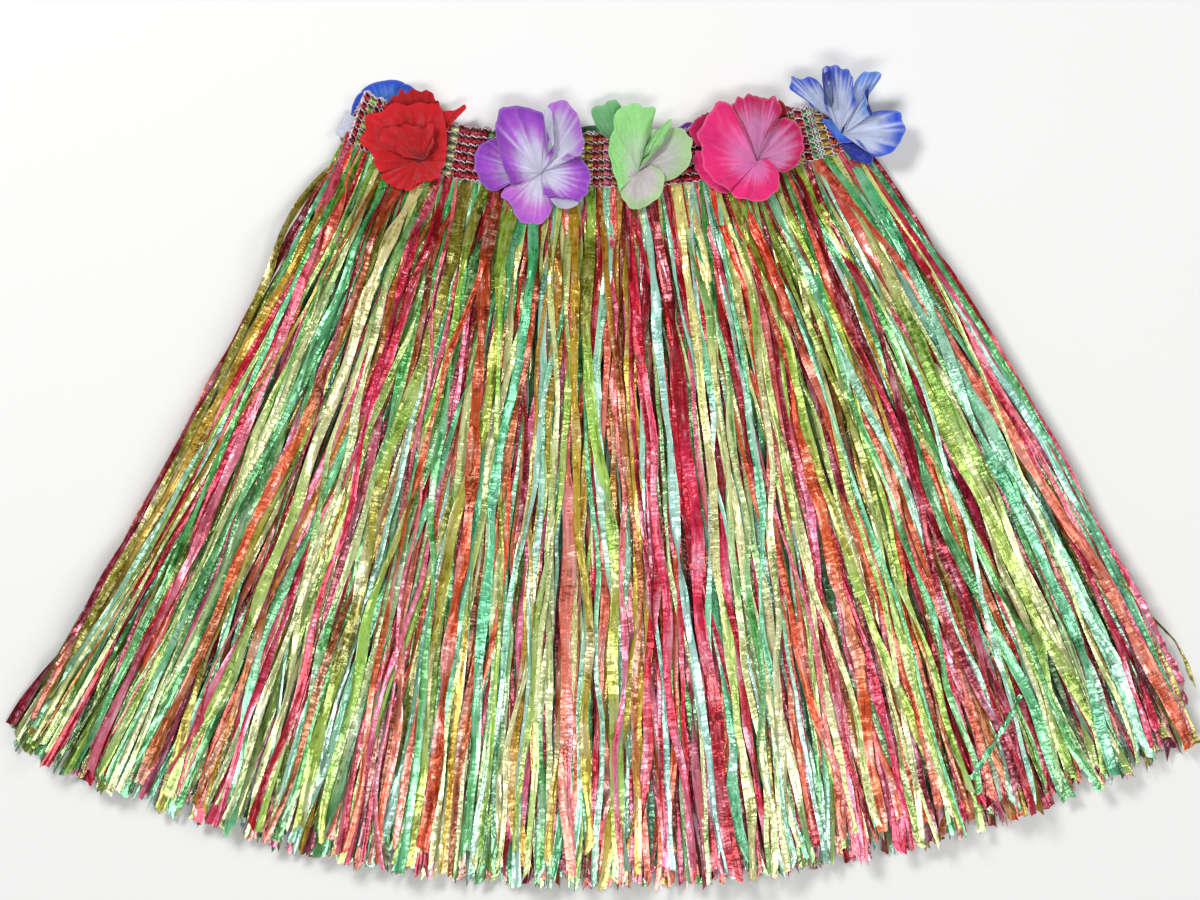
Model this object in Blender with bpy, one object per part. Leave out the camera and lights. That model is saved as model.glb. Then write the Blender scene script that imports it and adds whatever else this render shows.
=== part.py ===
# A grass skirt laid flat on its back: a knitted waistband folded at one side, its front and back
# curtains of strands, a hook-and-loop tab at the open side, and a row of cloth flowers on each face.
# +X runs across the skirt and +Y from the hem to the waist. Z is 0 on the surface it lies on, and
# the origin is the middle of the footprint.

import math
import random

import bmesh
import bpy
import numpy as np
from mathutils import Matrix

MM = 0.001
SEAM = 0.3 * MM

# Waistband: a strip that runs along the front, folds at the right side and comes back.
BAND_Y = 167.0 * MM
BAND_HEIGHT = 28.0 * MM
BAND_WALL = 2.0 * MM
BAND_GATHERS = 50
GATHER_RELIEF = 0.6 * MM
LEFT_REACH = 132.0 * MM
LEFT_RISE = 24.0 * MM
LEFT_BEND = 3.0
RIGHT_REACH = 135.0 * MM
RIGHT_RISE = 21.0 * MM
RIGHT_BEND = 2.2
FOLD_STEPS = 5

# Heights: the two layers of the band meet at MEET_Z, above the flowers pressed flat under it.
MEET_Z = 4.65 * MM
FRONT_INNER_Z = MEET_Z + SEAM / 2
BACK_INNER_Z = MEET_Z - SEAM / 2
FRONT_CREST_Z = FRONT_INNER_Z + BAND_WALL + GATHER_RELIEF
BACK_CREST_Z = BACK_INNER_Z - BAND_WALL - GATHER_RELIEF

# Closure tab: it lies between the two layers at the open side and shows past their ends.
TAB_LENGTH = 18.0 * MM
TAB_WIDTH = 11.0 * MM
TAB_THICKNESS = 1.2 * MM
TAB_CENTRE = (-130.3 * MM, 182.3 * MM)
TAB_TURN = math.radians(-28.0)
TAB_LIFT = TAB_THICKNESS + SEAM
TAB_LIFT_FULL = 18.0 * MM
TAB_LIFT_GONE = 40.0 * MM

# Strands: they fan from the band's lower edge to a hem on one wide arc.
STRIP_HEIGHT = 5.0 * MM
STRIP_THICKNESS = 1.05 * MM
HEM_RADIUS = 695.0 * MM
HEM_CENTRE_Y = 475.0 * MM
HEM_LEFT = math.radians(-27.0)
HEM_RIGHT = math.radians(27.0)
HEM_UNEVEN = 6.0 * MM
STRAND_SHARE = 0.62
STRAND_TOP_SHARE = 0.6
STRAND_LEAVE = 0.3
STRAND_SPLAY = 1.12
WANDER_SHARE = 0.8
WANDER_TURNS = 1.3
RIPPLE = 0.12 * MM
SEED = 40

# Each row is one backing strip and its strands. A row's first strand is its start, in pitches, from
# the band's end, so each layer covers the gaps of the next. Heights are the strands' middle at the
# root, half way down and at the hem, in mm, and thick is their thickness from half way down.
STRAND_PITCHES = 50
FRINGE_COLUMNS = ("name", "start", "steps", "root_z", "mid_z", "hem_z", "thick", "colour")
FRINGES = (
    ("front_fringe_outer", 0.5, 5, 6.675, 9.30, 8.00, 1.7, (0.62, 0.68, 0.24)),
    ("front_fringe_inner", 1.0, 4, 5.325, 6.60, 5.70, 1.7, (0.72, 0.10, 0.25)),
    ("back_fringe_inner", 0.5, 4, 3.975, 4.00, 3.50, 1.6, (0.30, 0.62, 0.42)),
    ("back_fringe_outer", 1.0, 4, 2.625, 1.50, 1.40, 1.6, (0.75, 0.75, 0.35)),
)

# Front flowers: where each is sewn on, its petals as (direction in degrees, length, width, lift of
# the tip) in mm, and the waves round its rim.
FOOT_RADIUS = 6.0 * MM
PETAL_WALL = 1.4 * MM
PETAL_NECK = 0.42
PETAL_POWER = 2.4
FRONT_SPOKES = 48
FRONT_FLOWERS = {
    "flower_red": {
        "at": (-104.0, 178.5), "waves": 11, "ruffle": 1.6, "colour": (0.62, 0.02, 0.03),
        "petals": ((90, 26, 34, 9), (35, 24, 22, 8), (28, 36, 7, 6), (330, 24, 28, 8),
                   (270, 26, 34, 8), (210, 24, 30, 8), (150, 24, 30, 9)),
    },
    "flower_purple": {
        "at": (-31.5, 162.0), "waves": 9, "ruffle": 0.7, "colour": (0.42, 0.13, 0.55),
        "petals": ((109, 36, 27, 12), (74, 39, 21, 14), (173, 35.5, 26, 5), (260, 28, 26, 5),
                   (333, 29, 30, 7)),
    },
    "flower_green": {
        "at": (21.6, 167.5), "waves": 7, "ruffle": 0.7, "colour": (0.45, 0.75, 0.42),
        "petals": ((97, 31, 23, 13), (121, 34, 15, 7), (54, 27, 7, 12), (6, 27.5, 27, 9),
                   (265, 27, 22, 6), (200, 17, 26, 6)),
    },
    "flower_pink": {
        "at": (81.0, 175.5), "waves": 11, "ruffle": 0.9, "colour": (0.80, 0.06, 0.28),
        "petals": ((68, 31, 30, 11), (12, 28, 30, 7), (285, 28, 32, 6), (228, 29, 32, 7),
                   (172, 33, 34, 9), (128, 31, 26, 12)),
    },
    "flower_blue": {
        "at": (133.0, 188.5), "waves": 9, "ruffle": 0.6, "colour": (0.16, 0.28, 0.72),
        "petals": ((146, 33.5, 13, 16), (102, 30, 18, 19), (60, 29.5, 12, 17), (352, 29, 25, 14),
                   (292, 23, 18, 6), (215, 17, 20, 4)),
    },
}

# Back flowers: the same five colours in turn, pressed flat between the band and the surface.
BACK_SPOKES = 32
BACK_PETAL_Z = 1.1 * MM
BACK_FOOT_Z = BACK_CREST_Z - SEAM
BACK_PETALS = 5
BACK_PETAL_WIDTH = 25.0
BACK_COLUMNS = ("name", "x", "y", "length", "turn", "colour")
BACK_FLOWERS = (
    ("back_flower_blue", -112.0, 189.4, 21.5, 102, (0.16, 0.28, 0.72)),
    ("back_flower_pink", -64.0, 169.0, 25.0, 76, (0.80, 0.06, 0.28)),
    ("back_flower_green", -2.0, 167.0, 24.0, 115, (0.35, 0.62, 0.36)),
    ("back_flower_purple", 51.0, 168.0, 24.0, 95, (0.42, 0.13, 0.55)),
    ("back_flower_red", 104.0, 177.0, 25.0, 112, (0.62, 0.02, 0.03)),
)

BAND_COLOUR = (0.55, 0.30, 0.28)
TAB_COLOUR = (0.85, 0.85, 0.88)


def clear_scene():
    for old in list(bpy.data.objects):
        bpy.data.objects.remove(old)
    collection = bpy.data.collections.new("grass_skirt")
    bpy.context.scene.collection.children.link(collection)
    return collection


def material(name, colour, roughness):
    made = bpy.data.materials.new(name)
    made.use_nodes = True
    shader = made.node_tree.nodes["Principled BSDF"]
    shader.inputs["Base Color"].default_value = (*colour, 1.0)
    shader.inputs["Roughness"].default_value = roughness
    shader.inputs["Metallic"].default_value = 0.0
    return made


def add_object(collection, name, bm, colour, roughness):
    """Puts the finished mesh in the scene as one named object."""
    bmesh.ops.recalc_face_normals(bm, faces=bm.faces)
    mesh = bpy.data.meshes.new(name)
    bm.to_mesh(mesh)
    bm.free()
    mesh.materials.append(material(name, colour, roughness))
    obj = bpy.data.objects.new(name, mesh)
    collection.objects.link(obj)
    return obj


def smooth_step(low, high, value):
    share = min(1.0, max(0.0, (value - low) / (high - low)))
    return share * share * (3.0 - 2.0 * share)


def band_y(x):
    """Height of the band's middle line: it sags between its two raised ends."""
    left = LEFT_RISE * (abs(x) / LEFT_REACH) ** LEFT_BEND
    right = RIGHT_RISE * (abs(x) / RIGHT_REACH) ** RIGHT_BEND
    return BAND_Y + (left if x < 0 else right)


def band_table():
    """Points along the band's middle line, and how far along it each one lies."""
    xs = np.linspace(-LEFT_REACH, RIGHT_REACH, 400)
    ys = np.array([band_y(x) for x in xs])
    along = np.concatenate([[0.0], np.cumsum(np.hypot(np.diff(xs), np.diff(ys)))])
    return xs, ys, along


BAND_XS, BAND_YS, BAND_ALONG = band_table()
BAND_LENGTH = float(BAND_ALONG[-1])


def band_frame(share):
    """Point, direction along and direction up at a share of the band's length from its left end."""
    reach = share * BAND_LENGTH
    step = 0.5 * MM
    point, before, after = (
        np.array([np.interp(d, BAND_ALONG, BAND_XS), np.interp(d, BAND_ALONG, BAND_YS)])
        for d in (reach, max(0.0, reach - step), min(BAND_LENGTH, reach + step))
    )
    tangent = (after - before) / np.linalg.norm(after - before)
    return point, tangent, np.array([-tangent[1], tangent[0]])


def front_lift(share):
    """The front layer rises over the closure tab at the open side."""
    return TAB_LIFT * (1.0 - smooth_step(TAB_LIFT_FULL, TAB_LIFT_GONE, share * BAND_LENGTH))


def loft(bm, rings):
    """Closed body through rings of four points. Returns the faces between points 0 and 1."""
    made = [[bm.verts.new(point) for point in ring] for ring in rings]
    first_side = []
    for ring, following in zip(made, made[1:]):
        for i in range(4):
            j = (i + 1) % 4
            face = bm.faces.new((ring[i], ring[j], following[j], following[i]))
            if i == 0:
                first_side.append(face)
    bm.faces.new(made[0])
    bm.faces.new(made[-1])
    return first_side


def band_ring(point, up, inner, outer, out_way):
    """Section of the band's wall: its two outer corners, then its two inner ones."""
    half = BAND_HEIGHT / 2
    low, high = point - up * half, point + up * half
    shift_out, shift_in = outer * out_way, inner * out_way
    return [
        (low[0] + shift_out[0], low[1] + shift_out[1], MEET_Z + shift_out[2]),
        (high[0] + shift_out[0], high[1] + shift_out[1], MEET_Z + shift_out[2]),
        (high[0] + shift_in[0], high[1] + shift_in[1], MEET_Z + shift_in[2]),
        (low[0] + shift_in[0], low[1] + shift_in[1], MEET_Z + shift_in[2]),
    ]


def waistband(collection):
    """One gathered wall from the front's left end, round the fold at the right, to the back."""
    columns = 2 * BAND_GATHERS
    up_way = np.array([0.0, 0.0, 1.0])
    rings = []
    for i in range(columns + 1):
        share = i / columns
        point, _, up = band_frame(share)
        inner = SEAM / 2 + front_lift(share)
        outer = inner + BAND_WALL + GATHER_RELIEF * (i % 2)
        rings.append(band_ring(point, up, inner, outer, up_way))
    point, tangent, up = band_frame(1.0)
    sideways = np.array([tangent[0], tangent[1], 0.0])
    for i in range(1, FOLD_STEPS):
        turn = math.pi * i / FOLD_STEPS
        way = math.cos(turn) * up_way + math.sin(turn) * sideways
        rings.append(band_ring(point, up, SEAM / 2, SEAM / 2 + BAND_WALL, way))
    for i in range(columns, -1, -1):
        point, _, up = band_frame(i / columns)
        outer = SEAM / 2 + BAND_WALL + GATHER_RELIEF * (i % 2)
        rings.append(band_ring(point, up, SEAM / 2, outer, -up_way))
    bm = bmesh.new()
    loft(bm, rings)
    add_object(collection, "waistband", bm, BAND_COLOUR, 0.7)


def closure_tab(collection):
    """The white hook-and-loop tab between the band's two open ends."""
    bm = bmesh.new()
    bmesh.ops.create_cube(bm, size=1.0)
    bmesh.ops.scale(bm, verts=bm.verts, vec=(TAB_LENGTH, TAB_WIDTH, TAB_THICKNESS))
    place = Matrix.Translation((*TAB_CENTRE, FRONT_INNER_Z + TAB_THICKNESS / 2))
    bm.transform(place @ Matrix.Rotation(TAB_TURN, 4, "Z"))
    add_object(collection, "closure_tab", bm, TAB_COLOUR, 0.9)


def three_heights(row, s):
    """Curve through a fringe's heights at its root, half way down and at its hem."""
    root, middle, hem = row["root_z"] * MM, row["mid_z"] * MM, row["hem_z"] * MM
    bend = 2.0 * (root - 2.0 * middle + hem)
    return root + (hem - root - bend) * s + bend * s * s


def strand_sections(row, index, chance):
    """Corners of one strand at each step from its root to the hem, as the comb's faces take them."""
    centre_share = (index + row["start"]) / STRAND_PITCHES
    root, _, up = band_frame(centre_share)
    root = root - up * (BAND_HEIGHT / 2 + SEAM + STRIP_HEIGHT)
    reach = HEM_RADIUS + chance.uniform(-HEM_UNEVEN, HEM_UNEVEN)
    turn = HEM_LEFT + (HEM_RIGHT - HEM_LEFT) * centre_share
    tip = np.array([reach * math.sin(turn), HEM_CENTRE_Y - reach * math.cos(turn)])
    length = np.linalg.norm(tip - root)
    splay = STRAND_SPLAY * math.asin((tip[0] - root[0]) / length)
    leaving = np.array([math.sin(splay), -math.cos(splay)])
    middle = root + leaving * (STRAND_LEAVE * length)
    root_pitch = BAND_LENGTH / STRAND_PITCHES
    hem_pitch = HEM_RADIUS * (HEM_RIGHT - HEM_LEFT) / STRAND_PITCHES
    phase = chance.uniform(0.0, 2.0 * math.pi)
    ripple_phase = chance.uniform(0.0, 2.0 * math.pi)
    sections = []
    for step in range(1, row["steps"] + 1):
        s = step / row["steps"]
        point = (1 - s) ** 2 * root + 2 * s * (1 - s) * middle + s * s * tip
        heading = (1 - s) * (middle - root) + s * (tip - middle)
        heading = heading / np.linalg.norm(heading)
        across = np.array([-heading[1], heading[0]])
        pitch = root_pitch + (hem_pitch - root_pitch) * s
        free = (1.0 - STRAND_SHARE) * pitch / 2 - SEAM
        swing = WANDER_SHARE * free * math.sin(2 * math.pi * WANDER_TURNS * s + phase)
        point = point + across * swing
        half = STRAND_SHARE * pitch / 2
        thick = STRIP_THICKNESS + (row["thick"] * MM - STRIP_THICKNESS) * min(1.0, 2 * s)
        ripple = RIPPLE * math.sin(4 * math.pi * s + ripple_phase)
        z = three_heights(row, s) + ripple + front_lift(centre_share) * row["lifts"] * (1 - s)
        low, high = z - thick / 2, z + thick / 2
        left, right = point - across * half, point + across * half
        left_top = point - across * half * STRAND_TOP_SHARE
        right_top = point + across * half * STRAND_TOP_SHARE
        sections.append([(*left, low), (*left_top, high), (*right_top, high), (*right, low)])
    return sections


def fringe(collection, row, chance):
    """A comb: a narrow strip along the band's lower edge, with every other block drawn out."""
    shares = [0.0]
    for index in range(round(STRAND_PITCHES + 1 - 2 * row["start"])):
        middle = (index + row["start"]) / STRAND_PITCHES
        shares += [middle - STRAND_SHARE / 2 / STRAND_PITCHES]
        shares += [middle + STRAND_SHARE / 2 / STRAND_PITCHES]
    shares.append(1.0)
    rings = []
    for share in shares:
        point, _, up = band_frame(share)
        top = point - up * (BAND_HEIGHT / 2 + SEAM)
        bottom = top - up * STRIP_HEIGHT
        z = row["root_z"] * MM + front_lift(share) * row["lifts"]
        low, high = z - STRIP_THICKNESS / 2, z + STRIP_THICKNESS / 2
        rings.append([(*bottom, low), (*bottom, high), (*top, high), (*top, low)])
    bm = bmesh.new()
    root_faces = loft(bm, rings)[1::2]
    for index, face in enumerate(root_faces):
        for corners in strand_sections(row, index, chance):
            face = bmesh.ops.extrude_discrete_faces(bm, faces=[face])["faces"][0]
            for vert, place in zip(face.verts, corner_order(face, corners)):
                vert.co = place
    add_object(collection, row["name"], bm, row["colour"], 0.35)


def corner_order(face, corners):
    """The corners in the order of the face's own points: lower left first, as the strip has them."""
    lows = [vert.co.z for vert in face.verts]
    xs = [vert.co.x for vert in face.verts]
    middle_x, middle_z = sum(xs) / 4, sum(lows) / 4
    chosen = []
    for x, z in zip(xs, lows):
        left, low = x < middle_x, z < middle_z
        chosen.append(corners[(0 if low else 1) if left else (3 if low else 2)])
    return chosen


def petal_reach(petals, angle):
    """How far the flower's rim is from its middle at an angle, and the lift of the petal there."""
    best, lift = 0.0, petals[0][3] * MM
    for direction, length, width, tip_lift in petals:
        off = math.radians((math.degrees(angle) - direction + 180) % 360 - 180)
        spread = math.atan2(width / 2, length * 0.62)
        share = abs(off) / (spread * 1.25)
        if share < 1.0:
            reach = length * MM * (1.0 - share**PETAL_POWER) ** (1.0 / PETAL_POWER)
            if reach > best:
                best, lift = reach, tip_lift * MM
    shortest = min(length for _, length, _, _ in petals) * MM
    return max(best, PETAL_NECK * shortest, FOOT_RADIUS * 1.5), lift


def flower_rings(at, spokes, petals, rim_height):
    """Foot, middle and rim of a flower as rings of points. rim_height gives z at (share, angle)."""
    rings = []
    for share in (0.0, 0.5, 1.0):
        ring = []
        for i in range(spokes):
            angle = 2 * math.pi * i / spokes
            reach, lift = petal_reach(petals, angle)
            r = FOOT_RADIUS + (reach - FOOT_RADIUS) * share
            z = rim_height(share, angle, lift)
            ring.append((at[0] + r * math.cos(angle), at[1] + r * math.sin(angle), z))
        rings.append(ring)
    return rings


def flower_surface(bm, rings):
    """An open surface: the foot as one disc, with its edge drawn out to the rim ring by ring."""
    made = bmesh.ops.create_circle(bm, cap_ends=True, segments=len(rings[0]), radius=FOOT_RADIUS)
    verts = made["verts"]
    edges = list(bm.edges)
    for vert, place in zip(verts, rings[0]):
        vert.co = place
    for ring in rings[1:]:
        drawn = bmesh.ops.extrude_edge_only(bm, edges=edges)["geom"]
        new = {item for item in drawn if isinstance(item, bmesh.types.BMVert)}
        verts = [drawn_from(vert, new) for vert in verts]
        for vert, place in zip(verts, ring):
            vert.co = place
        edges = [
            item
            for item in drawn
            if isinstance(item, bmesh.types.BMEdge) and all(vert in new for vert in item.verts)
        ]


def drawn_from(vert, new):
    """The new point at the other end of the one edge that was drawn out from this point."""
    ends = [edge.other_vert(vert) for edge in vert.link_edges]
    return next(end for end in ends if end in new)


def front_flower(collection, name, spec):
    """A cupped flower: its petals rise from a flat foot that sits on the band."""
    at = (spec["at"][0] * MM, spec["at"][1] * MM)
    share = float(np.interp(at[0], BAND_XS, BAND_ALONG)) / BAND_LENGTH
    foot_z = FRONT_CREST_Z + front_lift(max(0.0, share - 0.06)) + SEAM + PETAL_WALL

    def height(share_out, angle, lift):
        ruffle = spec["ruffle"] * MM * math.sin(spec["waves"] * angle) * share_out**2
        return foot_z + lift * share_out**1.4 + ruffle * (1 if share_out == 1.0 else 0)

    bm = bmesh.new()
    flower_surface(bm, flower_rings(at, FRONT_SPOKES, spec["petals"], height))
    drawn = bmesh.ops.extrude_face_region(bm, geom=list(bm.faces))["geom"]
    lower = [item for item in drawn if isinstance(item, bmesh.types.BMVert)]
    bmesh.ops.translate(bm, verts=lower, vec=(0.0, 0.0, -PETAL_WALL))
    add_object(collection, name, bm, spec["colour"], 0.8)


def back_flower(collection, row):
    """A flower pressed flat: its underside is the plane it lies on, and its foot meets the band."""
    at = (row["x"] * MM, row["y"] * MM)
    step = 360 / BACK_PETALS
    petals = [
        (row["turn"] + step * i, row["length"], BACK_PETAL_WIDTH, 0.0) for i in range(BACK_PETALS)
    ]

    def height(share_out, angle, lift):
        return BACK_FOOT_Z if share_out == 0.0 else BACK_PETAL_Z

    bm = bmesh.new()
    flower_surface(bm, flower_rings(at, BACK_SPOKES, petals, height))
    drawn = bmesh.ops.extrude_face_region(bm, geom=list(bm.faces))["geom"]
    for item in drawn:
        if isinstance(item, bmesh.types.BMVert):
            item.co.z = 0.0
    add_object(collection, row["name"], bm, row["colour"], 0.8)


def main():
    collection = clear_scene()
    chance = random.Random(SEED)
    waistband(collection)
    closure_tab(collection)
    for values in FRINGES:
        row = dict(zip(FRINGE_COLUMNS, values))
        row["lifts"] = 1.0 if row["root_z"] * MM > MEET_Z else 0.0
        fringe(collection, row, chance)
    for name, spec in FRONT_FLOWERS.items():
        front_flower(collection, name, spec)
    for values in BACK_FLOWERS:
        back_flower(collection, dict(zip(BACK_COLUMNS, values)))


main()
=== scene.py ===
import math

import bpy
import numpy as np
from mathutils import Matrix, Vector


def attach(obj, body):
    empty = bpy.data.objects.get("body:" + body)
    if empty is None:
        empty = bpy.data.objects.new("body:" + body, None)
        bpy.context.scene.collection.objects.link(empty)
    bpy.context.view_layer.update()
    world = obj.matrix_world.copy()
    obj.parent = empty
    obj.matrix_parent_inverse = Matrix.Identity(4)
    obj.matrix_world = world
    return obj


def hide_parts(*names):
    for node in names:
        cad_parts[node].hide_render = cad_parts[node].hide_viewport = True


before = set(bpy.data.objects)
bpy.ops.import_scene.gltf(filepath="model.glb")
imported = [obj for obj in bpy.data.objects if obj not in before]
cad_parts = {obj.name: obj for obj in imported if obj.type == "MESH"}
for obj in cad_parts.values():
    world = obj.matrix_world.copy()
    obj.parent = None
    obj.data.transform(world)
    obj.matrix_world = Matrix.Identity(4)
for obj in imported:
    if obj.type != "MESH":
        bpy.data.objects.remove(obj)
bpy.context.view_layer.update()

mm = 0.001

skirt = {  # the flat layout, the same sizes as the solids, in metres
    "bandY": 0.167, "bandHeight": 0.028,
    "leftReach": 0.132, "leftRise": 0.024, "leftBend": 3.0,
    "rightReach": 0.135, "rightRise": 0.021, "rightBend": 2.2,
    "rootInset": 0.005,  # how far up inside the band the ribbons start
    "meetZ": 0.00465,  # where the band's two layers meet
    "tabLift": 0.0015, "tabLiftFull": 0.018, "tabLiftGone": 0.040,
    "hemRadius": 0.690, "hemY": 0.475, "hemLeft": -27.1, "hemRight": 27.1,
    # the bow at four places along the band: how far along it is, and how wide of the tip it sets out
    "bowAt": (0, 0.35, 0.7, 1), "leave": (0.30, 0.30, 0.45, 0.60), "splay": (0.80, 0.98, 1.08, 1.22),
}
photo = {  # a pixel in mm, the pixel that lies at x 0 and y 167 mm, and where the camera is, in mm
    "pixel": 0.5333, "midX": 600, "midY": 160, "bandY": 167,
    "eyeY": 12.33, "eyeHeight": 2200, "level": 6, "width": 640,  # the photo is to scale at this level
}
apart = {"ribbon": 13.7, "column": 7.3, "petal": 31.7}  # mm from piece to piece in the cloth's pattern


def linear(colour):  # a 0 to 255 colour as scene light: the standard screen curve undone
    c = np.asarray(colour, float) / 255
    return np.where(c < 0.04045, c / 12.92, ((c + 0.055) / 1.055) ** 2.4)


def smooth(low, high, x):  # 0 below low, 1 above high, an s-curve between
    t = np.clip((np.asarray(x, float) - low) / (high - low), 0, 1)
    return t * t * (3 - 2 * t)


def waves(rng, shape, s, low, high, terms=4):  # a smooth random line: summed sines, about -1 to 1
    total = np.zeros(shape + s.shape)
    for _ in range(terms):
        pitch = rng.uniform(low, high, shape)[..., None]
        start = rng.uniform(0, 2 * np.pi, shape)[..., None]
        total += np.sin(2 * np.pi * pitch * s + start)
    return total / math.sqrt(terms)


# the band's line

bandX = np.linspace(-skirt["leftReach"], skirt["rightReach"], 1500)
bandLineY = skirt["bandY"] + np.where(
    bandX < 0,
    skirt["leftRise"] * np.abs(bandX / skirt["leftReach"]) ** skirt["leftBend"],
    skirt["rightRise"] * np.abs(bandX / skirt["rightReach"]) ** skirt["rightBend"],
)
bandRun = np.concatenate([[0], np.cumsum(np.hypot(np.diff(bandX), np.diff(bandLineY)))])
bandLength = float(bandRun[-1])


def bandAt(share):  # point, way along and way up at a share of the band's length
    d = np.asarray(share, float) * bandLength
    x, y = np.interp(d, bandRun, bandX), np.interp(d, bandRun, bandLineY)
    ahead, behind = np.minimum(d + 0.0008, bandLength), np.maximum(d - 0.0008, 0)
    tx = np.interp(ahead, bandRun, bandX) - np.interp(behind, bandRun, bandX)
    ty = np.interp(ahead, bandRun, bandLineY) - np.interp(behind, bandRun, bandLineY)
    size = np.hypot(tx, ty)
    along = np.stack([tx / size, ty / size], -1)
    return np.stack([x, y], -1), along, np.stack([-along[..., 1], along[..., 0]], -1)


def frontLift(share):  # the front layer rides up over the closure tab at the open side
    d = np.asarray(share, float) * bandLength
    return skirt["tabLift"] * (1 - smooth(skirt["tabLiftFull"], skirt["tabLiftGone"], d))


# meshes

def gridFaces(blocks, rows, columns):  # quads of several equal grids of points, one after another
    i, j = np.meshgrid(np.arange(rows - 1), np.arange(columns - 1), indexing="ij")
    corner = (i * columns + j).ravel()
    quad = np.stack([corner, corner + 1, corner + columns + 1, corner + columns], -1)
    return (quad[None] + (np.arange(blocks) * rows * columns)[:, None, None]).reshape(-1, 4)


def makeMesh(name, points, quads, uv=None, tint=None):  # one object from arrays, smooth, at the origin
    mesh = bpy.data.meshes.new(name)
    mesh.vertices.add(len(points))
    mesh.vertices.foreach_set("co", np.ascontiguousarray(points, np.float32).ravel())
    mesh.loops.add(quads.size)
    mesh.loops.foreach_set("vertex_index", quads.astype(np.int32).ravel())
    mesh.polygons.add(len(quads))
    mesh.polygons.foreach_set("loop_start", np.arange(0, quads.size, 4, dtype=np.int32))
    mesh.polygons.foreach_set("loop_total", np.full(len(quads), 4, np.int32))
    mesh.update(calc_edges=True)
    if uv is not None:
        layer = mesh.uv_layers.new(name="film")
        layer.data.foreach_set("uv", uv[quads.ravel()].astype(np.float32).ravel())
    if tint is not None:
        layer = mesh.color_attributes.new("tint", "FLOAT_COLOR", "POINT")
        rgba = np.concatenate([tint, np.ones((len(tint), 1))], 1)
        layer.data.foreach_set("color", rgba.astype(np.float32).ravel())
    mesh.polygons.foreach_set("use_smooth", np.ones(len(quads), bool))
    mesh.validate()
    obj = bpy.data.objects.new(name, mesh)
    bpy.context.scene.collection.objects.link(obj)
    return obj


def dress(obj, material, slot, *nodes):  # gives a piece its material and body, and hides the solids it stands for; slot is not used
    obj.data.materials.append(material)
    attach(obj, "root")
    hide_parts(*nodes)


# materials

class Wire:  # a shader socket that + - and * work on
    def __init__(self, tree, socket):
        self.tree, self.socket = tree, socket

    def maths(self, operation, *values):
        return node(self.tree, "ShaderNodeMath", {"operation": operation}, *values)

    def __add__(self, other):
        return self.maths("ADD", self, other)

    def __sub__(self, other):
        return self.maths("SUBTRACT", self, other)

    def __rsub__(self, other):
        return self.maths("SUBTRACT", other, self)

    def __mul__(self, other):
        return self.maths("MULTIPLY", self, other)

    __radd__, __rmul__ = __add__, __mul__


def feed(tree, socket, value):  # links a wire to a socket, or sets it; a colour gets its alpha
    if isinstance(value, Wire):
        tree.links.new(value.socket, socket)
    else:
        socket.default_value = (*value, 1.0) if isinstance(value, tuple) else value


def connect(tree, owner, **sockets):  # feeds a node's sockets by name, with _ for a space
    for key, value in sockets.items():
        feed(tree, owner.inputs[key.replace("_", " ")], value)


def node(tree, kind, settings, *values, out=0, **named):  # its settings, then sockets in order or by name
    made = tree.nodes.new(kind)
    for key, value in settings.items():
        setattr(made, key, value)
    for socket, value in zip(made.inputs, values):
        feed(tree, socket, value)
    connect(tree, made, **named)
    return Wire(tree, made.outputs[out])


def ramp(tree, value, low, high):  # value from low to high becomes an s-curve from 0 to 1
    return node(tree, "ShaderNodeMapRange", {"interpolation_type": "SMOOTHSTEP"}, value, low, high, 0.0, 1.0)


def blend(tree, share, first, second, kind="MIX"):  # two colours mixed
    mix = node(tree, "ShaderNodeMix", {"data_type": "RGBA", "blend_type": kind}, out=2)
    for place, value in ((0, share), (6, first), (7, second)):
        feed(tree, mix.socket.node.inputs[place], value)
    return mix


def noise(tree, vector, scale, detail=2.0, rough=0.5, distort=0.0):
    return node(tree, "ShaderNodeTexNoise", {"noise_dimensions": "3D"}, Vector=vector, Scale=scale,
                Detail=detail, Roughness=rough, Distortion=distort)


def bumps(tree, height, strength, distance):
    return node(tree, "ShaderNodeBump", {}, Strength=strength, Distance=distance, Height=height)


def spotOf(tree):  # the place on the piece itself, in metres
    return node(tree, "ShaderNodeTexCoord", {}, out=3)


def newMaterial(name, **plain):  # a Principled material, with its plain sockets set
    material = bpy.data.materials.new(name)
    material.use_nodes = True
    shader = material.node_tree.nodes["Principled BSDF"]
    connect(material.node_tree, shader, **plain)
    return material, material.node_tree, shader


def filmParts(tree):  # the film's own place: across and along it, in mm
    uv = node(tree, "ShaderNodeUVMap", {"uv_map": "film"})
    across = node(tree, "ShaderNodeSeparateXYZ", {}, uv, out=0)
    along = Wire(tree, across.socket.node.outputs[1])
    return across, along


def pattern(tree, across, along, pitch):  # the film's place at a pattern's own pitch
    return node(tree, "ShaderNodeCombineXYZ", {}, across * pitch[0], along * pitch[1])


film = {  # the look of the crinkled film ribbons: counts per mm across and along, then strengths, with those of the painted shade and highlights
    "streak": (0.80, 0.030), "blob": (0.40, 0.13), "crinkle": (0.42, 0.36), "crease": (0.09, 0.22),
    "ripple": (0.16, 0.60), "patches": (0.022, 0.016),
    "darken": 0.85, "lighten": 0.80, "creaseShade": 0.70, "spark": 0.85, "roughness": 0.24, "roughSpread": 0.16,
    "metallic": 0.35, "coat": 0.18, "specular": 0.45, "depths": (0.11, 0.36, 0.22, 0.55, 0.12),
}


def darker(tree, colour):  # the colour of painted shade on the film: deeper in hue as well as in light
    deep = node(tree, "ShaderNodeGamma", {}, colour, 1.5)
    return blend(tree, 1.0, deep, (0.55, 0.55, 0.55), "MULTIPLY")


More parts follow.
